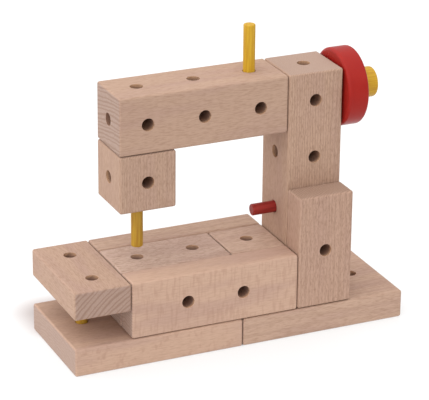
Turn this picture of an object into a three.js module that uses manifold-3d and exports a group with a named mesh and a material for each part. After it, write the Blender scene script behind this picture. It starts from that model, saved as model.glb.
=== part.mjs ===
// Toy sewing machine built from a wooden construction kit: bored square beams and half-thick boards
// pegged together with dowels, with a turned handwheel, its cap, and coloured rods for the needle,
// the spool pin and the stitch button.
// Millimetres, +Z up, the arm along X with the handwheel at +X, the operator's side at -Y.
// The origin is the centre of the base's underside.
import * as THREE from 'three';
import { RoundedBoxGeometry } from 'three/addons/geometries/RoundedBoxGeometry.js';
import { mergeVertices } from 'three/addons/utils/BufferGeometryUtils.js';
import Module from 'manifold-3d';

// The kit's blocks
const CELL = 30; // width and height of a beam, and the pitch of its bores
const BOARD = 15; // thickness of a board
const SEAT_GAP = 0.3; // how much each block is planed under the cells that it fills
const EDGE_ROUND = 1.2; // rounding along every edge of a block

// The kit's rods, and the bores that take them
const ROD_DIAMETER = 6;
const ROD_CHAMFER = 0.6;
const BORE_CLEARANCE = 0.25; // radial play of a rod in its bore
const END_BORE = 28; // depth of the bore in each end of a beam
const SOCKET_DEPTH = 9; // depth of a blind bore in a board
const END_GAP = 1; // play left beyond the end of a rod
const ROD_RECESS = 3; // how far a hidden rod stops short of an open face

// How many cells each part of the machine takes
const TABLE_CELLS = 1;
const ARM_CELLS = 3; // the arm reaches over the whole bed
const CUBE_CELLS = 1; // part of the bed that a cube fills, next to the column
const POST_CELLS = 4;
const PLATE_CELLS = 2;
const TAIL_CELLS = 1; // bare base to the right of the column
const BUTTON_CELL = 2; // cell of the column, from below, that holds the stitch button

// The rods that stand out of the blocks
const NEEDLE_GAP = 6; // needle tip above the bed
const NEEDLE_GRIP = 21; // needle inside the arm
const SPOOL_RISE = 24; // spool pin above the arm
const BUTTON_LENGTH = 30;
const BUTTON_REACH = 12.5; // stitch button out of the column
const AXLE_GRIP = 26; // axle inside the arm

// Handwheel and its cap
const WHEEL_DIAMETER = 40;
const WHEEL_THICKNESS = 11.5;
const WHEEL_ROUND = 1.6;
const WHEEL_GAP = 1; // between the column and the wheel
const CAP_DIAMETER = 15.5;
const CAP_LENGTH = 11;
const CAP_ROUND = 1.2;
const CAP_BORE = 8;
const CAP_GAP = 0.5; // between the wheel and its cap

// How finely round shapes are divided
const ROD_SIDES = 16;
const WHEEL_SIDES = 48;
const CAP_SIDES = 24;
const ROUND_STEPS = 3;
const BLOCK_ROUND_STEPS = 1;

// Sizes that follow from those above
const ROD_RADIUS = ROD_DIAMETER / 2;
const BORE_RADIUS = ROD_RADIUS + BORE_CLEARANCE;
const DEPTH = CELL + 2 * BOARD; // front to back, over both rails
const BED_BEAM_CELLS = ARM_CELLS - CUBE_CELLS;
const LEFT_BOARD_CELLS = TABLE_CELLS + BED_BEAM_CELLS;
const RIGHT_BOARD_CELLS = CUBE_CELLS + 1 + TAIL_CELLS; // under the cube, the column and the tail

// Places along X
const LEFT_END = (-CELL * (LEFT_BOARD_CELLS + RIGHT_BOARD_CELLS)) / 2;
const BED_LEFT = LEFT_END + TABLE_CELLS * CELL;
const BED_SEAM = BED_LEFT + BED_BEAM_CELLS * CELL; // beam meets cube, over the seam of the base
const POST_LEFT = BED_SEAM + CUBE_CELLS * CELL;
const POST_RIGHT = POST_LEFT + CELL;
const TABLE_X = BED_LEFT - (TABLE_CELLS * CELL) / 2;
const NEEDLE_X = BED_LEFT + CELL / 2;
const SPOOL_X = POST_LEFT - CELL / 2;
const POST_X = POST_LEFT + CELL / 2;
const WHEEL_LEFT = POST_RIGHT + WHEEL_GAP;
const CAP_LEFT = WHEEL_LEFT + WHEEL_THICKNESS + CAP_GAP;

// Places along Y, measured from the middle of the machine
const BLOCK_FACE = CELL / 2;
const RAIL_MIDDLE = BLOCK_FACE + BOARD / 2;

// Places along Z
const BED_AXIS = BOARD + CELL / 2;
const BED_TOP = BOARD + CELL;
const ARM_TOP = BOARD + POST_CELLS * CELL;
const ARM_AXIS = ARM_TOP - CELL / 2;
const ARM_UNDERSIDE = ARM_TOP - CELL;
const HEAD_AXIS = ARM_AXIS - CELL;
const BUTTON_AXIS = BOARD + (BUTTON_CELL - 0.5) * CELL;
const TABLE_UNDERSIDE = BED_TOP - BOARD;

const BEECH = { color: 0xcfab92, roughness: 0.72, metalness: 0 };
const YELLOW_STAIN = { color: 0xdfae2e, roughness: 0.5, metalness: 0 };
const RED_PAINT = { color: 0xb8332b, roughness: 0.42, metalness: 0 };
const RED_STAIN = { color: 0x9f2c27, roughness: 0.55, metalness: 0 };

const wasm = await Module();
wasm.setup();

/** A piece left as it was made. */
const UNTURNED = new THREE.Euler();

/** Turn that brings +Y, the axis of a turned piece, to the named axis. */
const TURN_FROM_Y = {
  x: new THREE.Euler(0, 0, -Math.PI / 2),
  y: UNTURNED,
  z: new THREE.Euler(Math.PI / 2, 0, 0),
};

/** Turn that stands a beam or a rail on its end, with its own +X up. */
const UPRIGHT = new THREE.Euler(0, -Math.PI / 2, 0);

/** Half turn that brings a rail's back face to the front. */
const ABOUT_FACE = new THREE.Euler(0, 0, Math.PI);

/** Quarter turn that lays a board's length along Y. */
const CROSSWISE = new THREE.Euler(0, 0, Math.PI / 2);

/** Turn of each bore about itself, in facets, so that crossing bores share no edge. */
const BORE_PHASE = { x: 0, y: 0.5, z: 0.25 };

/** A closed geometry as a solid for cutting. */
function solidOf(geometry) {
  const bare = geometry.clone();
  bare.deleteAttribute('normal');
  bare.deleteAttribute('uv');
  const merged = mergeVertices(bare);
  return new wasm.Manifold(
    new wasm.Mesh({
      numProp: 3,
      vertProperties: merged.attributes.position.array,
      triVerts: merged.index.array,
    }),
  );
}

/** A block's geometry with every cutter taken out of it. */
function cutAway(block, cutters) {
  const cut = cutters.reduce((rest, cutter) => rest.subtract(solidOf(cutter)), solidOf(block));
  const { vertProperties, triVerts } = cut.getMesh();
  const geometry = new THREE.BufferGeometry();
  geometry.setAttribute('position', new THREE.BufferAttribute(vertProperties, 3));
  geometry.setIndex(new THREE.BufferAttribute(triVerts, 1));
  geometry.computeVertexNormals();
  return geometry;
}

/** A block that fills the given cells, planed under them and rounded along its edges. */
function blockGeometry(length, width, height) {
  return new RoundedBoxGeometry(
    length - SEAT_GAP,
    width - SEAT_GAP,
    height - SEAT_GAP,
    BLOCK_ROUND_STEPS,
    EDGE_ROUND,
  );
}

/** A bore along the named axis, of the given length, about its middle. */
function boreCutter(axis, length, x, y, z) {
  const cutter = new THREE.CylinderGeometry(BORE_RADIUS, BORE_RADIUS, length, ROD_SIDES);
  cutter.rotateY((BORE_PHASE[axis] * 2 * Math.PI) / ROD_SIDES);
  cutter.applyMatrix4(new THREE.Matrix4().makeRotationFromEuler(TURN_FROM_Y[axis]));
  return cutter.translate(x, y, z);
}

/** Middles of a row of cells, about zero. */
function cellMiddles(cells) {
  return Array.from({ length: cells }, (_, i) => (i - (cells - 1) / 2) * CELL);
}

/** A square beam along X, bored both ways through each cell and lengthwise into both ends. */
function beamGeometry(cells) {
  const half = (cells * CELL) / 2;
  const cutters = cellMiddles(cells).flatMap((x) => [
    boreCutter('y', 2 * CELL, x, 0, 0),
    boreCutter('z', 2 * CELL, x, 0, 0),
  ]);
  // an end bore's cutter is twice as long as the bore is deep, with its middle on the end face
  cutters.push(boreCutter('x', 2 * END_BORE, -half, 0, 0));
  cutters.push(boreCutter('x', 2 * END_BORE, half, 0, 0));
  return cutAway(blockGeometry(2 * half, CELL, CELL), cutters);
}

/** A half-thick rail along X: bored through between its cells, with a socket behind each cell. */
function railGeometry(cells) {
  const through = cellMiddles(cells - 1).map((x) => boreCutter('y', 2 * BOARD, x, 0, 0));
  const sockets = cellMiddles(cells).map((x) => boreCutter('y', 2 * SOCKET_DEPTH, x, BOARD / 2, 0));
  return cutAway(blockGeometry(cells * CELL, BOARD, CELL), [...through, ...sockets]);
}

/** A base board along X, as deep as the machine, bored through the middle of each cell. */
function baseBoardGeometry(cells) {
  const bores = cellMiddles(cells).map((x) => boreCutter('z', 2 * BOARD, x, 0, 0));
  return cutAway(blockGeometry(cells * CELL, DEPTH, BOARD), bores);
}

/** The table board along X, bored through near both ends, with a socket under its middle. */
function tableGeometry() {
  const fromMiddle = DEPTH / 2 - CELL / 2;
  return cutAway(blockGeometry(DEPTH, TABLE_CELLS * CELL, BOARD), [
    boreCutter('z', 2 * BOARD, -fromMiddle, 0, 0),
    boreCutter('z', 2 * BOARD, fromMiddle, 0, 0),
    boreCutter('z', 2 * SOCKET_DEPTH, 0, 0, -BOARD / 2),
  ]);
}

/** Points of a quarter round about a centre, from one angle to the next quarter. */
function quarterRound(centreX, centreY, radius, startAngle) {
  return Array.from({ length: ROUND_STEPS + 1 }, (_, i) => {
    const angle = startAngle + (i * Math.PI) / 2 / ROUND_STEPS;
    return new THREE.Vector2(
      centreX + radius * Math.cos(angle),
      centreY + radius * Math.sin(angle),
    );
  });
}

/** A dowel along Y about its middle, with chamfered ends. */
function rodGeometry(length) {
  const half = length / 2;
  const profile = [
    new THREE.Vector2(0, -half),
    new THREE.Vector2(ROD_RADIUS - ROD_CHAMFER, -half),
    new THREE.Vector2(ROD_RADIUS, -half + ROD_CHAMFER),
    new THREE.Vector2(ROD_RADIUS, half - ROD_CHAMFER),
    new THREE.Vector2(ROD_RADIUS - ROD_CHAMFER, half),
    new THREE.Vector2(0, half),
  ];
  return new THREE.LatheGeometry(profile, ROD_SIDES);
}

/** The handwheel along Y from its left face, a plain disc with rounded rims and a running bore. */
function wheelGeometry() {
  const shoulder = WHEEL_DIAMETER / 2 - WHEEL_ROUND;
  const profile = [
    new THREE.Vector2(BORE_RADIUS, 0),
    ...quarterRound(shoulder, WHEEL_ROUND, WHEEL_ROUND, -Math.PI / 2),
    ...quarterRound(shoulder, WHEEL_THICKNESS - WHEEL_ROUND, WHEEL_ROUND, 0),
    new THREE.Vector2(BORE_RADIUS, WHEEL_THICKNESS),
    new THREE.Vector2(BORE_RADIUS, 0),
  ];
  return new THREE.LatheGeometry(profile, WHEEL_SIDES);
}

/** The cap along Y from its open end, with a blind bore that grips the axle. */
function capGeometry() {
  const shoulder = CAP_DIAMETER / 2 - CAP_ROUND;
  const profile = [
    new THREE.Vector2(0, CAP_BORE),
    new THREE.Vector2(BORE_RADIUS, CAP_BORE),
    new THREE.Vector2(BORE_RADIUS, 0),
    ...quarterRound(shoulder, CAP_ROUND, CAP_ROUND, -Math.PI / 2),
    ...quarterRound(shoulder, CAP_LENGTH - CAP_ROUND, CAP_ROUND, 0),
    new THREE.Vector2(0, CAP_LENGTH),
  ];
  return new THREE.LatheGeometry(profile, CAP_SIDES);
}

const machine = new THREE.Group();
machine.position.z = -SEAT_GAP / 2; // the planed undersides of the base stand on z = 0

/** Adds a named piece to the machine. */
function place(name, finish, geometry, x, y, z, turn = UNTURNED) {
  const mesh = new THREE.Mesh(geometry, new THREE.MeshStandardMaterial(finish));
  mesh.name = name;
  mesh.position.set(x, y, z);
  mesh.rotation.copy(turn);
  machine.add(mesh);
}

/** Adds a rod along Z between two heights. */
function placeUprightRod(name, finish, x, y, bottom, top) {
  place(name, finish, rodGeometry(top - bottom), x, y, (bottom + top) / 2, TURN_FROM_Y.z);
}

/** Adds a rod along X, in the middle of the machine, between two places. */
function placeLongRod(name, finish, z, left, right) {
  place(name, finish, rodGeometry(right - left), (left + right) / 2, 0, z, TURN_FROM_Y.x);
}

/** Adds a rod along Y between two places. */
function placeCrossRod(name, finish, x, z, front, back) {
  place(name, finish, rodGeometry(back - front), x, (front + back) / 2, z);
}

/** Base: two boards end to end, with a peg up into each block that stands on them. */
function addBase() {
  const leftMiddle = BED_SEAM - (LEFT_BOARD_CELLS * CELL) / 2;
  const rightMiddle = BED_SEAM + (RIGHT_BOARD_CELLS * CELL) / 2;
  place('base_board_left', BEECH, baseBoardGeometry(LEFT_BOARD_CELLS), leftMiddle, 0, BOARD / 2);
  place('base_board_right', BEECH, baseBoardGeometry(RIGHT_BOARD_CELLS), rightMiddle, 0, BOARD / 2);
  const pegTop = BED_AXIS - ROD_RADIUS - END_GAP;
  for (let cell = 0; cell <= ARM_CELLS; cell++) {
    const x = NEEDLE_X + cell * CELL;
    placeUprightRod(`base_peg_${cell + 1}`, BEECH, x, 0, ROD_RECESS, pegTop);
  }
}

/** Bed: a beam and a cube between two rails, with pegs across the beam into both rails. */
function addBed() {
  const beamMiddle = (BED_LEFT + BED_SEAM) / 2;
  place('bed_beam', BEECH, beamGeometry(BED_BEAM_CELLS), beamMiddle, 0, BED_AXIS);
  place('bed_cube', BEECH, beamGeometry(CUBE_CELLS), (BED_SEAM + POST_LEFT) / 2, 0, BED_AXIS);
  const railX = (BED_LEFT + POST_LEFT) / 2;
  place('bed_front_rail', BEECH, railGeometry(ARM_CELLS), railX, -RAIL_MIDDLE, BED_AXIS);
  place('bed_back_rail', BEECH, railGeometry(ARM_CELLS), railX, RAIL_MIDDLE, BED_AXIS, ABOUT_FACE);
  const pegEnd = BLOCK_FACE + SOCKET_DEPTH - END_GAP;
  for (let cell = 0; cell < BED_BEAM_CELLS; cell++) {
    placeCrossRod(`rail_peg_${cell + 1}`, BEECH, NEEDLE_X + cell * CELL, BED_AXIS, -pegEnd, pegEnd);
  }
}

/** Extension table: a board level with the bed, held up by one rod that stands in the base. */
function addExtensionTable() {
  place('extension_table', BEECH, tableGeometry(), TABLE_X, 0, BED_TOP - BOARD / 2, CROSSWISE);
  const rodTop = TABLE_UNDERSIDE + SOCKET_DEPTH - END_GAP;
  placeUprightRod('table_support_rod', YELLOW_STAIN, TABLE_X, 0, ROD_RECESS, rodTop);
}

/** Column: a post with a stiffening plate pegged to its front, tied to the bed by a long rod. */
function addColumn() {
  place('column_post', BEECH, beamGeometry(POST_CELLS), POST_X, 0, (BOARD + ARM_TOP) / 2, UPRIGHT);
  const plateMiddle = BOARD + (PLATE_CELLS * CELL) / 2;
  place('column_plate', BEECH, railGeometry(PLATE_CELLS), POST_X, -RAIL_MIDDLE, plateMiddle, UPRIGHT);
  const pegFront = -(BLOCK_FACE + SOCKET_DEPTH - END_GAP);
  const pegBack = -(ROD_RADIUS + END_GAP);
  for (let cell = 0; cell < PLATE_CELLS; cell++) {
    placeCrossRod(`plate_peg_${cell + 1}`, BEECH, POST_X, BED_AXIS + cell * CELL, pegFront, pegBack);
  }
  // the tie stops clear of the last peg that crosses the bed's beam
  const tieLeft = BED_SEAM - CELL / 2 + ROD_RADIUS + END_GAP;
  placeLongRod('bed_tie_rod', BEECH, BED_AXIS, tieLeft, POST_RIGHT - ROD_RECESS);
  const buttonTip = POST_LEFT - BUTTON_REACH;
  placeLongRod('stitch_button', RED_STAIN, BUTTON_AXIS, buttonTip, buttonTip + BUTTON_LENGTH);
}

/** Arm: a beam with the head cube under its free end, the needle and the spool pin. */
function addArm() {
  place('arm_beam', BEECH, beamGeometry(ARM_CELLS), (BED_LEFT + POST_LEFT) / 2, 0, ARM_AXIS);
  place('needle_head_cube', BEECH, beamGeometry(1), NEEDLE_X, 0, HEAD_AXIS, UPRIGHT);
  const needleTip = BED_TOP + NEEDLE_GAP;
  placeUprightRod('needle_rod', YELLOW_STAIN, NEEDLE_X, 0, needleTip, ARM_UNDERSIDE + NEEDLE_GRIP);
  const spoolFoot = ARM_AXIS + ROD_RADIUS + END_GAP; // just above the axle
  placeUprightRod('spool_pin', YELLOW_STAIN, SPOOL_X, 0, spoolFoot, ARM_TOP + SPOOL_RISE);
}

/** Handwheel: turns on a fixed axle that joins arm and column, and is kept on by a cap. */
function addHandwheel() {
  const axleEnd = CAP_LEFT + CAP_BORE - END_GAP;
  placeLongRod('axle_rod', YELLOW_STAIN, ARM_AXIS, POST_LEFT - AXLE_GRIP, axleEnd);
  place('handwheel', RED_PAINT, wheelGeometry(), WHEEL_LEFT, 0, ARM_AXIS, TURN_FROM_Y.x);
  place('wheel_cap', YELLOW_STAIN, capGeometry(), CAP_LEFT, 0, ARM_AXIS, TURN_FROM_Y.x);
}

addBase();
addBed();
addExtensionTable();
addColumn();
addArm();
addHandwheel();

export default machine;
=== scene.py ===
"""Toy sewing machine pegged together from a wooden construction kit, in a plain studio.

Bored beech blocks and boards, stained dowels, and a painted handwheel with its cap. Lengths are in
metres unless millimetres are named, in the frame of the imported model: the arm along X with the
handwheel at +X, the operator's side at -Y, and the base standing on z = 0.
"""

from __future__ import annotations

import logging
import math
from abc import ABC, abstractmethod
from contextlib import contextmanager
from dataclasses import dataclass, field, replace
from enum import Enum, IntEnum
from typing import Callable, Iterator

import bmesh
import bpy
import numpy as np
from bpy.types import Material, Mesh, NodeSocket, NodeTree, Object
from mathutils import Matrix, Vector


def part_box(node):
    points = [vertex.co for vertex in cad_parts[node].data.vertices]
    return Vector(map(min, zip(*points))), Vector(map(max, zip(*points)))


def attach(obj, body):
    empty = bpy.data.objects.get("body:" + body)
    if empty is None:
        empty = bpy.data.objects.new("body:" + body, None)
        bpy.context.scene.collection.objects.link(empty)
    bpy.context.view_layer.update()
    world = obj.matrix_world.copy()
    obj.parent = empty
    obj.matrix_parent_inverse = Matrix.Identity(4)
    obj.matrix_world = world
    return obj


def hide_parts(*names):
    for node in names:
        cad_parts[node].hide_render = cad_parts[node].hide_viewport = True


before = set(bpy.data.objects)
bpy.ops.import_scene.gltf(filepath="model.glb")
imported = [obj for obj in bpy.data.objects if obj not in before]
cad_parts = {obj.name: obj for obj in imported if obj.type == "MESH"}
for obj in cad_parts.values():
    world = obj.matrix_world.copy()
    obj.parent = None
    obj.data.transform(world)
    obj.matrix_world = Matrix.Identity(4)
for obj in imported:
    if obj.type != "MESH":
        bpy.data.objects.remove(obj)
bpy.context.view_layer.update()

MM = 0.001
Triple = tuple[float, float, float]
log = logging.getLogger("toy_sewing_machine")


class Axis(Enum):
    """An axis of the machine's frame."""

    X = 0
    Y = 1
    Z = 2

    @property
    def unit(self) -> Vector:
        """The axis as a vector one metre long."""
        return Vector([float(self.value == i) for i in range(3)])

    @property
    def across(self) -> tuple[Axis, Axis]:
        """The other two axes."""
        first, second = (axis for axis in Axis if axis is not self)
        return first, second

    @property
    def turn_from_z(self) -> Matrix:
        """The turn that lays a piece made along Z along this axis."""
        return Axis.Z.unit.rotation_difference(self.unit).to_matrix()


class Body(str, Enum):
    """The bodies of the machine that move on their own."""

    FRAME = "machine_frame"
    HANDWHEEL = "handwheel"
    NEEDLE = "needle"
    BUTTON = "button"


class Slot(str, Enum):
    """The finishes that the machine's record names."""

    BEECH = "beech"
    YELLOW_ROD = "yellow_rod"
    RED_ROD = "red_rod"
    RED_WHEEL = "red_wheel"


class Part(str, Enum):
    """What is selected of a piece in edit mode."""

    FACE = "FACE"
    EDGE = "EDGE"


class MixColour(IntEnum):
    """Inputs of a Mix node that mixes colours."""

    FACTOR = 0
    FROM = 6
    TO = 7


@dataclass(frozen=True)
class Kit:
    """Attributes:
        cell: pitch of the bores.
        edge_round: rounding along a block's edges.
        bore: radius of a bore.
        bore_rim: rounding where a bore breaks through a face.
        bore_shade: depth at which the painted shade on a bore's wall is deepest.
        end_bore: depth of the bore in a beam's end.
        socket: depth of a blind bore in a board.
        rod_rim: rounding round a dowel's ends.
    """

    cell: float = 30.0 * MM
    edge_round: float = 1.2 * MM
    bore: float = 3.25 * MM
    bore_rim: float = 0.15 * MM
    bore_shade: float = 3.0 * MM
    end_bore: float = 27.85 * MM
    socket: float = 8.85 * MM
    rod_rim: float = 0.6 * MM


EDGE_STEPS = 5
RIM_STEPS = 3
BORE_SIDES = 48
ROD_SIDES = 48
WHEEL_SIDES = 160
BORE_PHASE = {Axis.X: 0.0, Axis.Y: 0.5, Axis.Z: 0.25}  # in facets, so that crossing bores share no edge
MOUTH_ANGLE = math.radians(84.0)  # short of level, so that the last ring meets the face at an angle
SMOOTH_ANGLE = math.radians(32.0)
SQUARE_ON = 0.99  # least part of a normal along an axis, for a face that looks along it
BESIDE = 0.5  # most part of a normal along a bore, for a face of its wall
CUT_MARKS = ("end_grain", "heart_side", "ray_side")
BORE_MARKS = ("bore_depth", "bore_mouth")
RELIEF_HEIGHT = 0.1 * MM
WHITE = "#FFFFFF"


def select_only(piece: Object | None = None) -> None:
    """Deselects everything, then selects one piece and makes it active.

    Args:
        piece: the piece to select, or None for nothing.
    """
    for other in bpy.context.selected_objects:
        other.select_set(False)
    bpy.context.view_layer.objects.active = piece
    if piece is not None:
        piece.select_set(True)


@contextmanager
def editing(piece: Object) -> Iterator[None]:
    """Opens one piece in edit mode for the length of a with block.

    Args:
        piece: the piece to edit.

    Returns:
        Nothing, to the with block.
    """
    select_only(piece)
    bpy.ops.object.mode_set(mode="EDIT")
    yield
    bpy.ops.object.mode_set(mode="OBJECT")


def select_parts(
    piece: Object, part: Part, wanted: Callable[[bmesh.types.BMFace | bmesh.types.BMEdge], bool]
) -> None:
    """Selects faces or edges of the piece that is in edit mode.

    Args:
        piece: the piece in edit mode.
        part: whether faces or edges are selected.
        wanted: says whether a face or an edge is selected.
    """
    bpy.ops.mesh.select_mode(type=part.value)
    bpy.ops.mesh.select_all(action="DESELECT")
    form = bmesh.from_edit_mesh(piece.data)
    for item in form.faces if part is Part.FACE else form.edges:
        item.select_set(wanted(item))
    form.select_flush_mode()
    bmesh.update_edit_mesh(piece.data)


def add_block(name: str, node: str, kit: Kit) -> Object:
    """Adds a block that fills a node's box, with rounded edges.

    Args:
        name: the new piece's name.
        node: the node whose box it fills.

    Returns:
        The new piece.
    """
    low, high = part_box(node)
    select_only()
    bpy.ops.mesh.primitive_cube_add(size=1.0, location=(low + high) / 2, scale=high - low)
    block = bpy.context.active_object
    block.name = name
    bpy.ops.object.transform_apply(location=True, rotation=True, scale=True)
    with editing(block):
        bpy.ops.mesh.select_all(action="SELECT")
        bpy.ops.mesh.bevel(offset=kit.edge_round, segments=EDGE_STEPS, affect="EDGES")
    return block


def add_turned(name: str, node: str, axis: Axis, rim: float, sides: int) -> Object:
    """Adds a round piece that fills a node's box, with rounded rims.

    Args:
        name: the new piece's name.
        node: the node whose box it fills.
        axis: the axis that it is turned about.
        rim: rounding round its ends.
        sides: how many flats go round it.

    Returns:
        The new piece.
    """
    low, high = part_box(node)
    size = high - low
    select_only()
    bpy.ops.mesh.primitive_cylinder_add(
        vertices=sides,
        radius=size[axis.across[0].value] / 2,
        depth=size[axis.value],
        location=(low + high) / 2,
        rotation=axis.turn_from_z.to_euler(),
    )
    turned = bpy.context.active_object
    turned.name = name
    bpy.ops.object.transform_apply(location=True, rotation=True, scale=True)
    with editing(turned):
        select_parts(
            turned,
            Part.EDGE,
            lambda edge: any(abs(face.normal[axis.value]) > SQUARE_ON for face in edge.link_faces),
        )
        bpy.ops.mesh.bevel(offset=rim, segments=EDGE_STEPS, affect="EDGES")
    return turned


@dataclass(frozen=True)
class Bore:
    """A bore in a block.

    Attributes:
        axis: the axis that it runs along.
        at: a point on its centre line.
        start: where it begins along the axis.
        end: where it ends along the axis.
        open_start: whether it breaks through a face where it begins.
        open_end: whether it breaks through a face where it ends.
    """

    axis: Axis
    at: Vector
    start: float
    end: float
    open_start: bool = True
    open_end: bool = True

    @classmethod
    def through(cls, node: str, axis: Axis, at: Vector) -> Bore:
        """A bore right through a node.

        Args:
            node: the bored node.
            axis: the axis that the bore runs along.
            at: a point on its centre line.

        Returns:
            The bore.
        """
        low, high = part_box(node)
        return cls(axis, at, low[axis.value], high[axis.value])

    @classmethod
    def blind(cls, node: str, axis: Axis, at: Vector, from_high: bool, depth: float) -> Bore:
        """A bore into one face of a node.

        Args:
            node: the bored node.
            axis: the axis that the bore runs along.
            at: a point on its centre line.
            from_high: whether it goes in at the high end of the axis.
            depth: how deep it goes.

        Returns:
            The bore.
        """
        low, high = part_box(node)
        if from_high:
            return cls(axis, at, high[axis.value] - depth, high[axis.value], open_start=False)
        return cls(axis, at, low[axis.value], low[axis.value] + depth, open_end=False)


def add_bit(bore: Bore, kit: Kit) -> Object:
    """Adds the shape that a bore takes out, flared where it breaks through a face.

    Args:
        bore: the bore.

    Returns:
        The shape, to be cut away from a block.
    """
    mouth = kit.bore_rim + kit.bore_shade
    low = bore.start + mouth * bore.open_start
    high = bore.end - mouth * bore.open_end
    middle = bore.at.copy()
    middle[bore.axis.value] = (low + high) / 2
    phase = Matrix.Rotation(BORE_PHASE[bore.axis] * 2 * math.pi / BORE_SIDES, 3, "Z")
    select_only()
    bpy.ops.mesh.primitive_cylinder_add(
        vertices=BORE_SIDES,
        radius=kit.bore,
        depth=high - low,
        location=middle,
        rotation=(bore.axis.turn_from_z @ phase).to_euler(),
    )
    bit = bpy.context.active_object
    bpy.ops.object.transform_apply(location=True, rotation=True, scale=True)
    with editing(bit):
        for outward, is_open in ((-1.0, bore.open_start), (1.0, bore.open_end)):
            if is_open:
                flare_end(bit, bore.axis, outward, middle, kit)
    return bit


def flare_end(bit: Object, axis: Axis, outward: float, centre: Vector, kit: Kit) -> None:
    """Draws one end of a bore's shape out, widens it in a quarter round, and takes it past the face.

    Args:
        bit: the bore's shape, in edit mode.
        axis: the axis that it runs along.
        outward: 1 for the high end, -1 for the low end.
        centre: a point on its centre line.
    """
    select_parts(bit, Part.FACE, lambda face: face.normal[axis.value] * outward > SQUARE_ON)
    mouth = axis.unit * outward * kit.bore_shade
    bpy.ops.mesh.extrude_region_move(TRANSFORM_OT_translate={"value": mouth})
    radius = kit.bore
    height = 0.0
    for step in range(1, RIM_STEPS + 1):
        angle = MOUTH_ANGLE * step / RIM_STEPS
        new_height = kit.bore_rim * math.sin(angle)
        new_radius = kit.bore + kit.bore_rim * (1 - math.cos(angle))
        rise = axis.unit * outward * (new_height - height)
        bpy.ops.mesh.extrude_region_move(TRANSFORM_OT_translate={"value": rise})
        widen = Vector((1.0, 1.0, 1.0)) * (new_radius / radius)
        widen[axis.value] = 1.0
        bpy.ops.transform.resize(value=widen, center_override=centre)
        radius = new_radius
        height = new_height
    past_face = axis.unit * outward * kit.edge_round
    bpy.ops.mesh.extrude_region_move(TRANSFORM_OT_translate={"value": past_face})


def drill(block: Object, bores: list[Bore], kit: Kit) -> None:
    """Takes bores out of a block, marks their walls and smooths the block.

    Args:
        block: the block.
        bores: its bores.
    """
    for bore in bores:
        bit = add_bit(bore, kit)
        cut = block.modifiers.new("bore", "BOOLEAN")
        cut.operation = "DIFFERENCE"
        cut.solver = "EXACT"
        cut.object = bit
        select_only(block)
        bpy.ops.object.modifier_apply(modifier=cut.name)
        bpy.data.meshes.remove(bit.data)
    mark_bores(block.data, bores, kit)
    smooth(block)


def smooth(piece: Object) -> None:
    """Shades round stretches smooth and flat faces flat.

    Args:
        piece: the finished piece.
    """
    select_only(piece)
    bpy.ops.object.shade_smooth_by_angle(angle=SMOOTH_ANGLE)
    even = piece.modifiers.new("even_normals", "WEIGHTED_NORMAL")
    even.keep_sharp = True
    bpy.ops.object.modifier_apply(modifier=even.name)


def mark_bores(mesh: Mesh, bores: list[Bore], kit: Kit) -> None:
    """Marks how deep each corner of a bore's wall lies, and how near it is to the bore's mouth.

    Args:
        mesh: the drilled block's mesh.
        bores: its bores.
    """
    middles = np.array([face.center for face in mesh.polygons])
    normals = np.array([face.normal for face in mesh.polygons])
    sides = [face.loop_total for face in mesh.polygons]
    corners = np.array([mesh.vertices[corner.vertex_index].co for corner in mesh.loops])
    deep, near = np.zeros((2, len(corners)), np.float32)
    for bore in bores:
        across = [axis.value for axis in bore.axis.across]
        from_axis = np.hypot(*(middles[:, across] - np.array(bore.at)[across]).T)
        beside = np.abs(normals[:, bore.axis.value]) < BESIDE
        wall = np.repeat(beside & (from_axis < kit.bore + kit.bore_rim), sides)
        to_mouths = [
            abs(corners[wall, bore.axis.value] - mouth)
            for mouth, is_open in ((bore.start, bore.open_start), (bore.end, bore.open_end))
            if is_open
        ]
        deep[wall] = np.clip(np.min(to_mouths, axis=0) / kit.bore_shade, 0.0, 1.0)
        near[wall] = 1.0 - deep[wall]
    for name, values in zip(BORE_MARKS, (deep, near)):
        mark = mesh.attributes.new(name, "FLOAT", "CORNER")
        mark.data.foreach_set("value", values)


def mark_cut(mesh: Mesh, turn: Matrix) -> None:
    """Marks how each corner of a piece's surface lies to the grain and to the heart of the tree.

    Args:
        mesh: the finished piece's mesh.
        turn: the turn that brings the grain to X and the heart to Y.
    """
    normals = np.array([corner.vector for corner in mesh.corner_normals])
    for name, direction in zip(CUT_MARKS, np.array(turn)):
        mark = mesh.attributes.new(name, "FLOAT", "CORNER")
        mark.data.foreach_set("value", ((normals @ direction) ** 2).astype(np.float32))


def linear(colour: str) -> tuple[float, float, float, float]:
    """Turns an sRGB hex colour into the linear colour that a shader takes.

    Args:
        colour: the colour, such as #CDA98F.

    Returns:
        Red, green, blue and alpha.
    """
    levels = [int(colour[i : i + 2], 16) / 255 for i in (1, 3, 5)]
    red, green, blue = (
        level / 12.92 if level <= 0.04045 else ((level + 0.055) / 1.055) ** 2.4 for level in levels
    )
    return red, green, blue, 1.0


def add_node(
    tree: NodeTree,
    kind: str,
    inputs: dict[str | int, object] | None = None,
    output: str | None = None,
    **settings: object,
) -> NodeSocket | None:
    """Adds one node with its settings, values and links.

    Args:
        tree: the material's nodes.
        kind: the node's type, without ShaderNode before it.
        inputs: for each input, by name or number, a value or the output that feeds it.
        output: the output that is wanted, where it isn't the first one in use.
        settings: properties of the node itself.

    Returns:
        The output that is wanted, or None from a node that has none.
    """
    node = tree.nodes.new(f"ShaderNode{kind}")
    for name, value in settings.items():
        setattr(node, name, value)
    for key, value in (inputs or {}).items():
        if isinstance(value, NodeSocket):
            tree.links.new(value, node.inputs[key])
        else:
            node.inputs[key].default_value = value
    if output is not None:
        return node.outputs[output]
    return next((socket for socket in node.outputs if socket.enabled), None)


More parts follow.
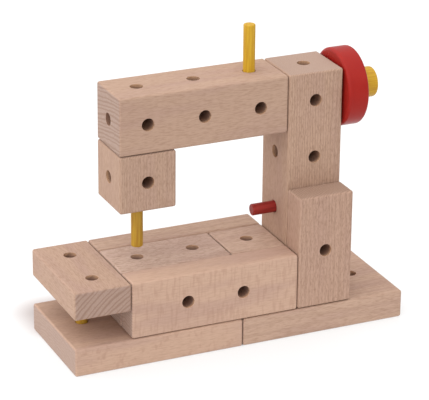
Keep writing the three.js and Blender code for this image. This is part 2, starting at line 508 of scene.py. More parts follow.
def new_material(name: str) -> tuple[Material, NodeTree, NodeSocket]:
    """Starts a material.

    Args:
        name: the material's name.

    Returns:
        The material, its nodes, and the place on the piece that its patterns follow.
    """
    material = bpy.data.materials.new(name)
    material.use_nodes = True
    tree = material.node_tree
    tree.nodes.clear()
    return material, tree, add_node(tree, "TexCoord", output="Object")


def lay_surface(tree: NodeTree, height: NodeSocket, relief: float, look: dict[str, object]) -> None:
    """Ends a material with its surface, from which a pattern stands up in low relief.

    Args:
        tree: the material's nodes.
        height: the pattern.
        relief: how strongly it stands up, from 0 to 1.
        look: values and links of the surface, by the name of the input.
    """
    bump = {"Strength": relief, "Distance": RELIEF_HEIGHT, "Height": height}
    look = {**look, "Normal": add_node(tree, "Bump", bump)}
    add_node(tree, "OutputMaterial", {"Surface": add_node(tree, "BsdfPrincipled", look)})


@dataclass(frozen=True)
class Beech:
    """Planed and sanded bare beech.

    The eye sees a pale pinkish tan, matt, with fine wavy lines along the grain, short dark dashes on
    the faces that look towards the heart of the tree, soft bars across the grain on the faces beside
    them, and greyer ends with year rings. In a bore, the wall carries painted light near the mouth and
    painted shade deeper in. Part of that shade is the darker burnished wall of a drilled hole.

    Attributes:
        grain: the axis that the grain runs along.
        heart: the axis that the heart of the tree lies on, seen from the block.
        lean: degrees that the heart lies off that axis, about the grain.
        reach: millimetres from the middle of the block to the heart.
        ring: millimetres between year rings.
        ring_show: how strongly the rings show along the grain, from 0 to 1.
        end_show: how much more strongly they show on the ends.
        wander: how far the rings stray, in radians of a ring.
        drawn_out: how much longer the rings' wander is along the grain than across it.
        fibre_show: how strongly the fine lines show, from 0 to 1.
        dash_show: how strongly the dashes show, from 0 to 1.
        bar_show: how strongly the bars show, from 0 to 1.
        bar_length: millimetres that a bar measures along the grain.
        bar_depth: millimetres that a bar reaches towards the heart.
        bar_level: level of the noise above which a bar begins, so higher is fewer bars.
        flush_show: how strongly the broad pinker patches show, from 0 to 1.
        tone: colour between the rings.
        end_tone: the same, on the ends.
        shift: millimetres along the grain that tell one block's figure from another's.
    """

    grain: Axis
    heart: Axis
    lean: float = 0.0
    reach: float = 110.0
    ring: float = 1.6
    ring_show: float = 0.14
    end_show: float = 0.3
    wander: float = 7.0
    drawn_out: float = 9.0
    fibre_show: float = 0.45
    dash_show: float = 0.3
    bar_show: float = 0.12
    bar_length: float = 1.6
    bar_depth: float = 6.0
    bar_level: float = 0.48
    flush_show: float = 0.45
    tone: str = "#B69783"
    end_tone: str = "#A99287"
    shift: float = 0.0

    RING_TONE = "#846654"
    FIBRE_TONE = "#957560"
    DASH_TONE = "#704F3B"
    BAR_TONE = "#997260"
    FLUSH_TONE = "#AA8A7F"
    # painted shade deeper in a bore, partly the darker burnished wall of a drilled hole
    BORE_PAINTED_SHADE = "#643114"
    # painted light: a paler wall near a bore's mouth, where light falls in
    MOUTH_PAINTED_LIGHT = "#DCAC80"
    END_TONE_SHOW = 0.8
    # strengths of the painted shade deep in a bore and of the painted light at its mouth
    BORE_SHADE_SHOW = 0.5
    MOUTH_LIGHT_SHOW = 0.6

    # spots measure millimetres along the grain, out from the heart, and round the heart
    FIBRE_SIZE = (3.6, 0.45, 0.45)  # drawn wider than the real 0.1 mm, which is too fine to show
    DASH_SIZE = (1.8, 0.9, 0.4)  # drawn wider than the real 0.2 mm, which is too fine to show
    BAR_WIDTH = 4.0
    FLUSH_SIZE = (60.0, 9.0, 9.0)
    CROWDING_SIZE = (90.0, 4.0, 40.0)
    SPOT_DETAIL = 1.0
    CROWDING = 1.7  # rings that the rings may be pushed together or apart
    WANDER_WIDTH = 9.0  # millimetres
    WANDER_DETAIL = 2.0
    WANDER_ROUGHNESS = 0.55

    # levels of a pattern between which its tone comes up
    RING_RISE = (0.35, 1.0)
    FIBRE_RISE = (0.42, 0.72)
    DASH_RISE = (0.52, 0.68)
    BAR_RISE = 0.22  # above a bar's own level
    FLUSH_RISE = (0.4, 0.7)
    END_RISE = (0.4, 1.0)
    BORE_RISE = (0.0, 1.0)
    MOUTH_RISE = (0.2, 0.9)

    SHEEN = {"From Min": 0.3, "From Max": 0.7, "To Min": 0.6, "To Max": 0.74}  # fibre to roughness
    IOR = 1.45
    SPECULAR = 0.2
    RELIEF = 0.25

    @property
    def turn(self) -> Matrix:
        """The turn that brings the grain to X and the heart to Y."""
        along = self.grain.unit
        across = along.cross(self.heart.unit)
        lean = math.radians(self.lean)
        outward = math.cos(lean) * self.heart.unit + math.sin(lean) * across
        return Matrix((along, outward, along.cross(outward)))

    def material(self, name: str, centre: Vector) -> Material:
        """Makes the material for one block.

        Args:
            name: the block's name.
            centre: the block's middle.

        Returns:
            The new material.
        """
        material, tree, place = new_material(f"sanded_beech_{name}")
        to_log = {
            "Vector": place,
            "Location": Vector((self.shift, self.reach, 0.0)) - self.turn @ centre / MM,
            "Rotation": self.turn.to_euler(),
            "Scale": (1 / MM, 1 / MM, 1 / MM),
        }
        # millimetres along the grain, out from the heart, and round the heart
        log_place = add_node(tree, "Mapping", to_log)
        ends, heart_side, ray_side, bore_depth, bore_mouth = (
            add_node(tree, "Attribute", output="Fac", attribute_name=mark)
            for mark in CUT_MARKS + BORE_MARKS
        )
        ring_amount, dash_amount, bar_amount = (
            add_node(tree, "Math", {0: side, 1: more, 2: least}, operation="MULTIPLY_ADD")
            for side, more, least in (
                (ends, self.end_show, self.ring_show),
                (heart_side, self.dash_show, 0.0),
                (ray_side, self.bar_show, 0.0),
            )
        )
        bar_size = (self.bar_length, self.bar_depth, self.BAR_WIDTH)
        fibre, dashes, bars, flush = (
            self.spots(tree, log_place, size)
            for size in (self.FIBRE_SIZE, self.DASH_SIZE, bar_size, self.FLUSH_SIZE)
        )
        rings = self.rings(tree, log_place)
        bar_rise = (self.bar_level, self.bar_level + self.BAR_RISE)
        colour = linear(self.tone)
        for layer, (low, high), show, tone in (
            (flush, self.FLUSH_RISE, self.flush_show, self.FLUSH_TONE),
            (ends, self.END_RISE, self.END_TONE_SHOW, self.end_tone),
            # painted light near a bore's mouth
            (bore_mouth, self.MOUTH_RISE, self.MOUTH_LIGHT_SHOW, self.MOUTH_PAINTED_LIGHT),
            # painted shade deeper in a bore, partly its darker burnished wall
            (bore_depth, self.BORE_RISE, self.BORE_SHADE_SHOW, self.BORE_PAINTED_SHADE),
            (rings, self.RING_RISE, ring_amount, self.RING_TONE),
            (fibre, self.FIBRE_RISE, self.fibre_show, self.FIBRE_TONE),
            (dashes, self.DASH_RISE, dash_amount, self.DASH_TONE),
            (bars, bar_rise, bar_amount, self.BAR_TONE),
        ):
            rise = {"Value": layer, "From Min": low, "From Max": high, "To Max": show}
            amount = add_node(tree, "MapRange", rise, interpolation_type="SMOOTHSTEP")
            mix = {MixColour.FACTOR: amount, MixColour.FROM: colour, MixColour.TO: linear(tone)}
            colour = add_node(tree, "Mix", mix, data_type="RGBA")
        look = {
            "Base Color": colour,
            "Roughness": add_node(tree, "MapRange", {"Value": fibre, **self.SHEEN}),
            "IOR": self.IOR,
            "Specular IOR Level": self.SPECULAR,
        }
        lay_surface(tree, fibre, self.RELIEF, look)
        return material

    def rings(self, tree: NodeTree, log_place: NodeSocket) -> NodeSocket:
        """Draws the year rings.

        Args:
            tree: the material's nodes.
            log_place: place in the log, in millimetres.

        Returns:
            1 on a ring's dark line and 0 between two rings.
        """
        push = (0.0, self.CROWDING * self.ring, 0.0)
        crowding = {0: self.spots(tree, log_place, self.CROWDING_SIZE), 1: push, 2: log_place}
        crowded = add_node(tree, "VectorMath", crowding, operation="MULTIPLY_ADD")
        drawing = {0: crowded, 1: (1 / self.drawn_out, 1.0, 1.0)}
        drawn = add_node(tree, "VectorMath", drawing, operation="MULTIPLY")
        # at scale 1 the rings are a tenth of pi apart
        scale = math.pi / 10 / self.ring
        wave = {
            "Vector": drawn,
            "Scale": scale,
            "Distortion": self.wander,
            "Detail": self.WANDER_DETAIL,
            "Detail Scale": 1 / (self.WANDER_WIDTH * scale),
            "Detail Roughness": self.WANDER_ROUGHNESS,
        }
        return add_node(tree, "TexWave", wave, "Fac", wave_type="RINGS", rings_direction="X")

    def spots(self, tree: NodeTree, log_place: NodeSocket, size: Triple) -> NodeSocket:
        """Draws noise whose spots have a given size.

        Args:
            tree: the material's nodes.
            log_place: place in the log, in millimetres.
            size: millimetres along the grain, out from the heart, and round the heart.

        Returns:
            The noise, from 0 to 1.
        """
        stretched = add_node(tree, "VectorMath", {0: log_place, 1: size}, operation="DIVIDE")
        noise = {"Vector": stretched, "Scale": 1.0, "Detail": self.SPOT_DETAIL}
        return add_node(tree, "TexNoise", noise)


@dataclass(frozen=True)
class StainedWood:
    """Turned beech with a water stain.

    The eye sees a strong even colour with a low sheen, and the grain as fine darker and paler
    streaks along the piece.

    Attributes:
        name: the material's name.
        axis: the axis that the grain runs along.
        pale: colour of the paler streaks.
        deep: colour of the darker streaks.
    """

    name: str
    axis: Axis
    pale: str
    deep: str

    STREAK_LENGTH = 14.0 * MM
    STREAK_WIDTH = 0.8 * MM  # drawn wider than the real 0.1 mm, which is too fine to show
    STREAK_DETAIL = 3.0
    STREAK_RISE = {"From Min": 0.35, "From Max": 0.68}
    ROUGHNESS = 0.45
    IOR = 1.35
    RELIEF = 0.3

    def material(self) -> Material:
        """Makes the material.

        Returns:
            The new material.
        """
        material, tree, place = new_material(self.name)
        per_metre = [1 / self.STREAK_WIDTH] * 3
        per_metre[self.axis.value] = 1 / self.STREAK_LENGTH
        along = add_node(tree, "Mapping", {"Vector": place, "Scale": per_metre})
        noise = {"Vector": along, "Scale": 1.0, "Detail": self.STREAK_DETAIL}
        streaks = add_node(tree, "TexNoise", noise)
        amount = add_node(tree, "MapRange", {"Value": streaks, **self.STREAK_RISE})
        pale, deep = linear(self.pale), linear(self.deep)
        mix = {MixColour.FACTOR: amount, MixColour.FROM: pale, MixColour.TO: deep}
        colour = add_node(tree, "Mix", mix, data_type="RGBA")
        look = {"Base Color": colour, "Roughness": self.ROUGHNESS, "IOR": self.IOR}
        lay_surface(tree, streaks, self.RELIEF, look)
        return material


FRESH_YELLOW = ("#CFA62A", "#BB8B1E")
# the same stain painted darker and duller, as painted shade for rods that stand in shade
SHADED_YELLOW = ("#BE9633", "#A87C26")


def yellow_stain(axis: Axis, worn: bool = False) -> Material:
    """The yellow stain for pieces whose grain runs along one axis.

    Args:
        axis: the axis that the grain runs along.
        worn: whether the stain is painted darker and duller, as painted shade for a rod in shade.

    Returns:
        The material, shared by all such pieces.
    """
    name = f"{'worn_' if worn else ''}yellow_stained_beech_{axis.name.lower()}"
    pale, deep = SHADED_YELLOW if worn else FRESH_YELLOW
    return bpy.data.materials.get(name) or StainedWood(name, axis, pale, deep).material()


@dataclass(frozen=True)
class SatinPaint:
    """Satin enamel on turned wood.

    The eye sees one strong colour under a soft broad shine, slightly uneven where the brush and the
    grain beneath show through.

    Attributes:
        name: the material's name.
        colour: the paint's colour.
        thin: colour where the coat is thin.
    """

    name: str
    colour: str
    thin: str

    PATCH = 9.0 * MM  # across a thin patch
    PATCH_DETAIL = 3.0
    PATCH_RISE = {"From Min": 0.4, "From Max": 0.75, "To Max": 0.5}
    PEEL = 1.1 * MM  # across a ripple in the coat
    PEEL_DETAIL = 1.0
    SHEEN = {"From Min": 0.3, "From Max": 0.7, "To Min": 0.27, "To Max": 0.37}  # patch to roughness
    IOR = 1.25
    RELIEF = 0.12

    def material(self) -> Material:
        """Makes the material.

        Returns:
            The new material.
        """
        material, tree, place = new_material(self.name)
        patches, peel = (
            add_node(tree, "TexNoise", {"Vector": place, "Scale": 1 / size, "Detail": detail})
            for size, detail in ((self.PATCH, self.PATCH_DETAIL), (self.PEEL, self.PEEL_DETAIL))
        )
        amount, roughness = (
            add_node(tree, "MapRange", {"Value": patches, **rise})
            for rise in (self.PATCH_RISE, self.SHEEN)
        )
        full, thin = linear(self.colour), linear(self.thin)
        mix = {MixColour.FACTOR: amount, MixColour.FROM: full, MixColour.TO: thin}
        colour = add_node(tree, "Mix", mix, data_type="RGBA")
        look = {"Base Color": colour, "Roughness": roughness, "IOR": self.IOR}
        lay_surface(tree, peel, self.RELIEF, look)
        return material


def node_middle(node: str) -> Vector:
    """The middle of a node's box."""
    low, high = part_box(node)
    return (low + high) / 2


@dataclass
class SubAssembly(ABC):
    """A part of the machine that is pegged together before it joins the rest.

    Attributes:
        pieces: the pieces made so far, by the node that each stands for.
    """

    kit: Kit
    pieces: dict[str, Object] = field(default_factory=dict, init=False)

    @abstractmethod
    def build(self) -> None:
        """Makes the meshes."""

    @abstractmethod
    def dress(self) -> None:
        """Gives every piece its finish."""

    def keep(self, node: str, piece: Object, body: Body = Body.FRAME, slot: Slot = Slot.BEECH) -> None:
        """Puts a finished piece in its node's place.

        Args:
            node: the node that the piece stands for.
            piece: the finished piece.
            body: the body that it moves with.
            slot: the finish that the record names for it; not used.
        """
        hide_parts(node)
        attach(piece, body.value)
        self.pieces[node] = piece
        log.info("%s: %d faces, moves with %s", piece.name, len(piece.data.polygons), body.value)

    def points(self, node: str, along: Axis, count: int) -> list[Vector]:
        """Points a cell apart on a node's middle line.

        Args:
            node: the node.
            along: the axis that the line runs along.
            count: how many points.

        Returns:
            The points, about the node's middle.
        """
        steps = (i - (count - 1) / 2 for i in range(count))
        return [node_middle(node) + along.unit * self.kit.cell * step for step in steps]

    def add_bored(self, node: str, bores: list[Bore]) -> None:
        """Adds a beech block with its bores.

        Args:
            node: the node that it stands for.
            bores: its bores.
        """
        block = add_block(f"{node}_wood", node, self.kit)
        drill(block, bores, self.kit)
        self.keep(node, block)

    def add_beam(self, node: str, along: Axis, cells: int) -> None:
        """Adds a square beam, bored both ways through each cell and lengthwise into both ends.

        Args:
            node: the node that it stands for.
            along: the axis that it lies along.
            cells: how many cells long it is.
        """
        points = self.points(node, along, cells)
        bores = [Bore.through(node, axis, point) for point in points for axis in along.across]
        if cells == 1:
            bores.append(Bore.through(node, along, points[0]))
        else:
            for from_high in (False, True):
                bores.append(Bore.blind(node, along, points[0], from_high, self.kit.end_bore))
        self.add_bored(node, bores)

    def add_rail(self, node: str, along: Axis, cells: int, sockets_at_back: bool) -> None:
        """Adds a half-thick rail, bored through between its cells, with a socket in each cell.

        Args:
            node: the node that it stands for.
            along: the axis that it lies along.
            cells: how many cells long it is.
            sockets_at_back: whether the sockets are in its +Y face.
        """
        between = self.points(node, along, cells - 1)
        bores = [Bore.through(node, Axis.Y, point) for point in between]
        for point in self.points(node, along, cells):
            bores.append(Bore.blind(node, Axis.Y, point, sockets_at_back, self.kit.socket))
        self.add_bored(node, bores)

    def add_dowel(self, node: str, axis: Axis, body: Body = Body.FRAME, slot: Slot = Slot.BEECH) -> None:
        """Adds a round rod.

        Args:
            node: the node that it stands for.
            axis: the axis that it lies along.
            body: the body that it moves with.
            slot: the finish that the record names for it.
        """
        dowel = add_turned(f"{node}_dowel", node, axis, self.kit.rod_rim, ROD_SIDES)
        smooth(dowel)
        self.keep(node, dowel, body, slot)

    def add_like(self, node: str, first: str) -> None:
        """Adds a copy of a beech piece that is already made, with its own mesh.

        Args:
            node: the node that the copy stands for.
            first: the node that the copied piece stands for.
        """
        model = self.pieces[first]
        copy = bpy.data.objects.new(model.name.replace(first, node), model.data.copy())
        bpy.context.scene.collection.objects.link(copy)
        copy.data.transform(Matrix.Translation(node_middle(node) - node_middle(first)))
        self.keep(node, copy)

    def add_pegs(self, stem: str, count: int, axis: Axis) -> None:
        """Adds a set of like pegs.

        Args:
            stem: the names of their nodes, without the number.
            count: how many pegs.
            axis: the axis that they lie along.
        """
        self.add_dowel(f"{stem}_1", axis)
        for peg in range(2, count + 1):
            self.add_like(f"{stem}_{peg}", f"{stem}_1")

    def wear(self, node: str, material: Material) -> None:
        """Gives one piece a finish."""
        self.pieces[node].data.materials.clear()
        self.pieces[node].data.materials.append(material)

    def wear_beech(self, cuts: dict[str, Beech]) -> None:
        """Gives pieces their own cuts of beech.

        Args:
            cuts: the cut of each piece, by the node that the piece stands for.
        """
        for node, beech in cuts.items():
            mark_cut(self.pieces[node].data, beech.turn)
            self.wear(node, beech.material(node, node_middle(node)))

    def wear_pegs(self, stem: str, count: int, first: Beech) -> None:
        """Gives a set of pegs cuts that follow each other in one stick of beech.

        Args:
            stem: the names of their nodes, without the number.
            count: how many pegs.
            first: the first peg's cut.
        """
        for peg in range(1, count + 1):
            self.wear_beech({f"{stem}_{peg}": replace(first, shift=first.shift * peg)})


@dataclass
class Base(SubAssembly):
    """Two boards end to end, with a peg up into each block that stands on them.

    Attributes:
        board_cells: how many cells long a board is.
        pegs: how many pegs stand in the boards.
    """

    board_cells: int = 3
    pegs: int = 4

    def build(self) -> None:
        """Makes the boards and the pegs."""
        node = "base_board_left"
        points = self.points(node, Axis.X, self.board_cells)
        self.add_bored(node, [Bore.through(node, Axis.Z, point) for point in points])
        self.add_like("base_board_right", node)
        self.add_pegs("base_peg", self.pegs, Axis.Z)

    def dress(self) -> None:
        """Gives the boards and the pegs their beech."""
        boards = {
            "base_board_left": Beech(
                Axis.X, Axis.Z, ring_show=0.06, end_show=0.12, fibre_show=0.25, dash_show=0.1,
                bar_show=0.28, bar_length=2.4, bar_depth=3.6, bar_level=0.55, tone="#C1A08B",
                shift=40.0,
            ),
            "base_board_right": Beech(
                Axis.X, Axis.Y, lean=25.0, ring=2.4, end_show=0.12, dash_show=0.06, tone="#BC9D89",
                shift=-90.0,
            ),
        }
        self.wear_beech(boards)
        self.wear_pegs("base_peg", self.pegs, Beech(Axis.Z, Axis.Y, shift=20.0))


@dataclass
class Bed(SubAssembly):
    """A beam and a cube between two rails, with pegs across the beam into both rails.

    Attributes:
        beam_cells: how many cells long the beam is, with a peg in each.
        rail_cells: how many cells long a rail is.
    """

    beam_cells: int = 2
    rail_cells: int = 3

    def build(self) -> None:
        """Makes the blocks, the rails and their pegs."""
        self.add_beam("bed_beam", Axis.X, self.beam_cells)
        self.add_beam("bed_cube", Axis.X, cells=1)
        self.add_rail("bed_front_rail", Axis.X, self.rail_cells, sockets_at_back=True)
        self.add_rail("bed_back_rail", Axis.X, self.rail_cells, sockets_at_back=False)
        self.add_pegs("rail_peg", self.beam_cells, Axis.Y)

    def dress(self) -> None:
        """Gives the blocks, the rails and their pegs their beech."""
        blocks = {
            "bed_beam": Beech(Axis.X, Axis.Z, flush_show=0.4, tone="#C3A797", shift=11.0),
            "bed_cube": Beech(Axis.X, Axis.Z, dash_show=0.1, tone="#C4A693", shift=-35.0),
            "bed_front_rail": Beech(
                Axis.X, Axis.Z, ring_show=0.05, fibre_show=0.2, dash_show=0.05, bar_show=0.24,
                bar_length=1.3, bar_depth=8.0, bar_level=0.46, tone="#C3A28D", shift=5.0,
            ),
            "bed_back_rail": Beech(
                Axis.X, Axis.Y, lean=60.0, dash_show=0.1, tone="#BB9D89", shift=75.0,
            ),
        }
        self.wear_beech(blocks)
        self.wear_pegs("rail_peg", self.beam_cells, Beech(Axis.Y, Axis.Z, shift=15.0))


@dataclass
class ExtensionTable(SubAssembly):
    """A board level with the bed, held up by one rod that stands in the base.

    Attributes:
        cells: how many cells long the board is, with a bore through each.
    """

    cells: int = 2

    def build(self) -> None:
        """Makes the board and its rod."""
        node = "extension_table"
        points = self.points(node, Axis.Y, self.cells)
        bores = [Bore.through(node, Axis.Z, point) for point in points]
        middle = node_middle(node)
        bores.append(Bore.blind(node, Axis.Z, middle, from_high=False, depth=self.kit.socket))
        self.add_bored(node, bores)
        self.add_dowel("table_support_rod", Axis.Z, slot=Slot.YELLOW_ROD)

    def dress(self) -> None:
        """Gives the board its beech and the rod its stain."""
        table = Beech(
            Axis.Y, Axis.Z, lean=-42.0, reach=60.0, ring=2.25, ring_show=0.06, end_show=0.5,
            wander=2.5, dash_show=0.08, bar_show=0.05, end_tone="#A48B80", shift=60.0,
        )
        self.wear_beech({"extension_table": table})
        # the rod stands in shade under the table, so its stain is painted darker as painted shade
        self.wear("table_support_rod", yellow_stain(Axis.Z, worn=True))


@dataclass
class Column(SubAssembly):
    """A post with a plate pegged to its front, tied to the bed by a long rod, and its button.

    Attributes:
        post_cells: how many cells high the post is.
        plate_cells: how many cells high the plate is, with a peg in each.
    """

    post_cells: int = 4
    plate_cells: int = 2

    def build(self) -> None:
        """Makes the post, the plate, their pegs, the long rod and the button."""
        self.add_beam("column_post", Axis.Z, self.post_cells)
        self.add_rail("column_plate", Axis.Z, self.plate_cells, sockets_at_back=True)
        self.add_pegs("plate_peg", self.plate_cells, Axis.Y)
        self.add_dowel("bed_tie_rod", Axis.X)
        self.add_dowel("stitch_button", Axis.X, Body.BUTTON, Slot.RED_ROD)

    def dress(self) -> None:
        """Gives the column its beech and the button its stain."""
        blocks = {
            "column_post": Beech(
                Axis.Z, Axis.Y, lean=30.0, ring=0.8, ring_show=0.28, end_show=0.02, dash_show=0.38,
                bar_show=0.04, flush_show=0.3, tone="#BA9A85", end_tone="#AE9588", shift=30.0,
            ),
            "column_plate": Beech(
                Axis.Z, Axis.Y, lean=30.0, ring=1.15, ring_show=0.2, drawn_out=6.0, dash_show=0.4,
                flush_show=0.2, tone="#B79683", end_tone="#AC9180", shift=-20.0,
            ),
            "bed_tie_rod": Beech(Axis.X, Axis.Z),
        }
        self.wear_beech(blocks)
        self.wear_pegs("plate_peg", self.plate_cells, Beech(Axis.Y, Axis.Z, shift=15.0))
        red = StainedWood("red_stained_beech", Axis.X, pale="#9D2D25", deep="#7A1E19")
        self.wear("stitch_button", red.material())


@dataclass
class Arm(SubAssembly):
    """A beam with the head cube under its free end, the needle and the spool pin.

    Attributes:
        cells: how many cells long the arm is.
    """

    cells: int = 3

    def build(self) -> None:
        """Makes the beam, the cube and the two rods."""
        self.add_beam("arm_beam", Axis.X, self.cells)
        self.add_beam("needle_head_cube", Axis.Z, cells=1)
        self.add_dowel("needle_rod", Axis.Z, Body.NEEDLE, Slot.YELLOW_ROD)
        self.add_dowel("spool_pin", Axis.Z, slot=Slot.YELLOW_ROD)

    def dress(self) -> None:
        """Gives the blocks their beech and the rods their stain."""
        blocks = {
            "arm_beam": Beech(
                Axis.X, Axis.Z, lean=-10.0, reach=140.0, ring=2.1, ring_show=0.05, end_show=0.42,
                wander=2.5, dash_show=0.04, bar_show=0.06, shift=-15.0,
            ),
            "needle_head_cube": Beech(
                Axis.Z, Axis.Y, lean=30.0, ring=0.9, ring_show=0.2, dash_show=0.35, bar_show=0.04,
                flush_show=0.25, shift=90.0,
            ),
        }
        self.wear_beech(blocks)
        # the needle stands in shade under the arm, so its stain is painted darker as painted shade
        self.wear("needle_rod", yellow_stain(Axis.Z, worn=True))
        self.wear("spool_pin", yellow_stain(Axis.Z))


@dataclass
class Handwheel(SubAssembly):
    """A wheel that turns on a fixed axle, kept on by a cap.

    Attributes:
        wheel_rim: rounding round the wheel's rims.
        cap_rim: rounding round the cap's rims.
        cap_bore: depth of the cap's bore.
    """

    wheel_rim: float = 1.6 * MM
    cap_rim: float = 1.2 * MM
    cap_bore: float = 8.0 * MM

    def build(self) -> None:
        """Makes the axle, the wheel and the cap."""
        self.add_dowel("axle_rod", Axis.X, slot=Slot.YELLOW_ROD)
        node = "handwheel"
        wheel = add_turned("handwheel_disc", node, Axis.X, self.wheel_rim, WHEEL_SIDES)
        drill(wheel, [Bore.through(node, Axis.X, node_middle(node))], self.kit)
        self.keep(node, wheel, Body.HANDWHEEL, Slot.RED_WHEEL)
        node = "wheel_cap"
        cap = add_turned("wheel_cap_turning", node, Axis.X, self.cap_rim, ROD_SIDES)
        hole = Bore.blind(node, Axis.X, node_middle(node), from_high=False, depth=self.cap_bore)
        drill(cap, [hole], self.kit)
        self.keep(node, cap, slot=Slot.YELLOW_ROD)

    def dress(self) -> None:
        """Gives the axle and the cap their stain and the wheel its paint."""
        for node in ("axle_rod", "wheel_cap"):
            self.wear(node, yellow_stain(Axis.X))
        paint = SatinPaint("red_satin_enamel", colour="#9B201A", thin="#A5281F")
        self.wear("handwheel", paint.material())


@dataclass(frozen=True)
class Shadow:
    """A shadow with soft edges on the table.

    Attributes:
        centre: its middle.
        core: how far to each side of its middle it keeps its depth.
        edge: how far it fades beyond that.
        light: share of the table's light that is left in its middle.
    """

    centre: Triple
    core: Triple
    edge: float
    light: float = 0.0

    def light_left(self, tree: NodeTree, place: NodeSocket) -> NodeSocket:
        """Draws the shadow.

        Args:
            tree: the table's nodes.
            place: place on the table.

        Returns:
            The share of the table's light that is left, from 0 to 1.
        """
        nothing = (0.0, 0.0, 0.0)
        beyond = place
        for operation, value in (
            ("SUBTRACT", self.centre),
            ("ABSOLUTE", nothing),
            ("SUBTRACT", self.core),
            ("MAXIMUM", nothing),
        ):
            beyond = add_node(tree, "VectorMath", {0: beyond, 1: value}, operation=operation)
        outward = add_node(tree, "VectorMath", {0: beyond}, operation="LENGTH")
        fade = {"Value": outward, "From Max": self.edge, "To Min": self.light}
        return add_node(tree, "MapRange", fade, interpolation_type="SMOOTHSTEP")


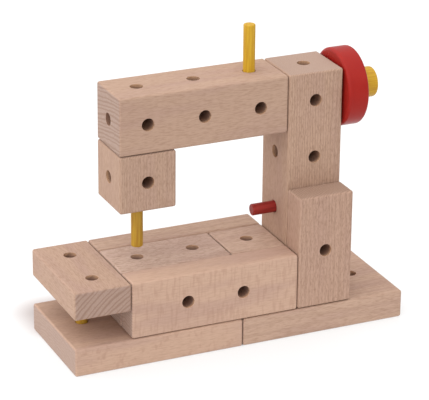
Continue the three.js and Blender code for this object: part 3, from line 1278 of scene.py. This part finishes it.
@dataclass(frozen=True)
class Studio:
    """A white table in a broad soft light, seen from the operator's left.

    Attributes:
        azimuth: degrees that the camera stands to the right of straight in front.
        elevation: degrees that it stands above the table.
        roll: degrees that it leans.
        lens: focal length in millimetres, for a 36 mm wide picture.
        distance: from the camera to the plane through the aim.
        aim: the point that it looks near.
        offset: how far it stands to the right of that line, and above it.
        table: width of the white table.
        glow: light that the table gives off round the machine, as if lit from below.
        far_glow: the same, far from the machine.
        pool_centre: middle of the brighter part.
        pool_near: how far it keeps its brightness.
        pool_far: where it ends.
        shade: the soft shadow behind the base.
        base_edge: how far in from the base's edge the table stops giving off light.
        brightest: where the room is brightest.
        sky: brightness there.
        dimmest: brightness square to that and beyond.
    """

    azimuth: float = -24.319
    elevation: float = 22.328
    roll: float = 0.523
    lens: float = 197.84
    distance: float = 1183.16 * MM
    aim: Triple = (0.0, 0.0, 67.5 * MM)
    offset: tuple[float, float] = (-2.674 * MM, 0.483 * MM)
    table: float = 8.0
    glow: float = 0.6
    far_glow: float = 0.31
    pool_centre: Triple = (0.0, 300.0 * MM, 0.0)
    pool_near: float = 330.0 * MM
    pool_far: float = 750.0 * MM
    shade: Shadow = Shadow(
        centre=(-22.0 * MM, 40.0 * MM, 0.0), core=(52.0 * MM, 5.0 * MM, 0.0), edge=26.0 * MM, light=0.08
    )
    base_edge: float = 3.0 * MM
    brightest: Triple = (-0.5, -0.1, 0.86)
    sky: float = 2.0
    dimmest: float = 0.66

    LAMINATE = "#A0A0A0"
    LAMINATE_ROUGHNESS = 0.9
    SHADE_TINT = "#FFCBBC"

    def build(self) -> None:
        """Makes the camera, the table and the lights."""
        self.add_camera()
        self.add_table()
        self.add_lights()

    def add_camera(self) -> None:
        """Makes the camera and hands it to the scene."""
        azimuth, elevation, roll = map(math.radians, (self.azimuth, self.elevation, self.roll))
        level_out = math.cos(elevation)
        back = Vector(
            (math.sin(azimuth) * level_out, -math.cos(azimuth) * level_out, math.sin(elevation))
        )
        level = Axis.Z.unit.cross(back).normalized()
        upright = back.cross(level)
        right = math.cos(roll) * level + math.sin(roll) * upright
        up = math.cos(roll) * upright - math.sin(roll) * level
        place = Vector(self.aim) + right * self.offset[0] + up * self.offset[1] + back * self.distance
        lens = bpy.data.cameras.new("camera")
        lens.lens = self.lens
        camera = bpy.data.objects.new("camera", lens)
        turn = Matrix((right, up, back)).transposed().to_4x4()
        camera.matrix_world = Matrix.Translation(place) @ turn
        bpy.context.scene.collection.objects.link(camera)
        bpy.context.scene.camera = camera

    def add_table(self) -> None:
        """Makes the white table."""
        select_only()
        bpy.ops.mesh.primitive_plane_add(size=self.table)
        table = bpy.context.active_object
        table.name = "white_table"
        table.data.materials.append(self.table_material())

    def table_material(self) -> Material:
        """Makes the table's matt white laminate.

        The eye sees clean white that glows round the machine, with a soft warm shadow behind the base.

        Returns:
            The new material.
        """
        material, tree, place = new_material("white_laminate")
        to_centre = {0: place, 1: self.pool_centre}
        pool = {
            "Value": add_node(tree, "VectorMath", to_centre, operation="DISTANCE"),
            "From Min": self.pool_near,
            "From Max": self.pool_far,
            "To Min": self.glow,
            "To Max": self.far_glow,
        }
        glow = add_node(tree, "MapRange", pool, interpolation_type="SMOOTHSTEP")
        low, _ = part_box("base_board_left")
        _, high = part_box("base_board_right")
        middle = (low + high) / 2
        half = (high - low) / 2
        core = (half.x - self.base_edge, half.y - self.base_edge, 0.0)
        under_base = Shadow((middle.x, middle.y, 0.0), core, self.base_edge)
        lit = self.shade.light_left(tree, place)
        for share in (lit, under_base.light_left(tree, place)):
            glow = add_node(tree, "Math", {0: glow, 1: share}, operation="MULTIPLY")
        shaded, clear = linear(self.SHADE_TINT), linear(WHITE)
        mix = {MixColour.FACTOR: lit, MixColour.FROM: shaded, MixColour.TO: clear}
        look = {
            "Base Color": linear(self.LAMINATE),
            "Roughness": self.LAMINATE_ROUGHNESS,
            "Emission Color": add_node(tree, "Mix", mix, data_type="RGBA"),
            "Emission Strength": glow,
        }
        add_node(tree, "OutputMaterial", {"Surface": add_node(tree, "BsdfPrincipled", look)})
        return material

    def add_lights(self) -> None:
        """Makes the room's light, brightest overhead and to the operator's left."""
        scene = bpy.context.scene
        scene.view_settings.view_transform = "Standard"
        room = bpy.data.worlds.new("room")
        room.use_nodes = True
        tree = room.node_tree
        tree.nodes.clear()
        looking = add_node(tree, "TexCoord", output="Generated")
        towards = {0: looking, 1: Vector(self.brightest).normalized()}
        facing = add_node(tree, "VectorMath", towards, operation="DOT_PRODUCT")
        levels = {"Value": facing, "To Min": self.dimmest, "To Max": self.sky}
        strength = add_node(tree, "MapRange", levels)
        light = add_node(tree, "Background", {"Color": linear(WHITE), "Strength": strength})
        add_node(tree, "OutputWorld", {"Surface": light})
        scene.world = room


def main() -> None:
    """Builds the studio and the machine, part by part."""
    logging.basicConfig(level=logging.INFO, format="%(message)s")
    Studio().build()
    kit = Kit()
    for part in (Base(kit), Bed(kit), ExtensionTable(kit), Column(kit), Arm(kit), Handwheel(kit)):
        part.build()
        part.dress()
        log.info("%s: %d pieces", type(part).__name__, len(part.pieces))


if __name__ == "__main__":
    main()
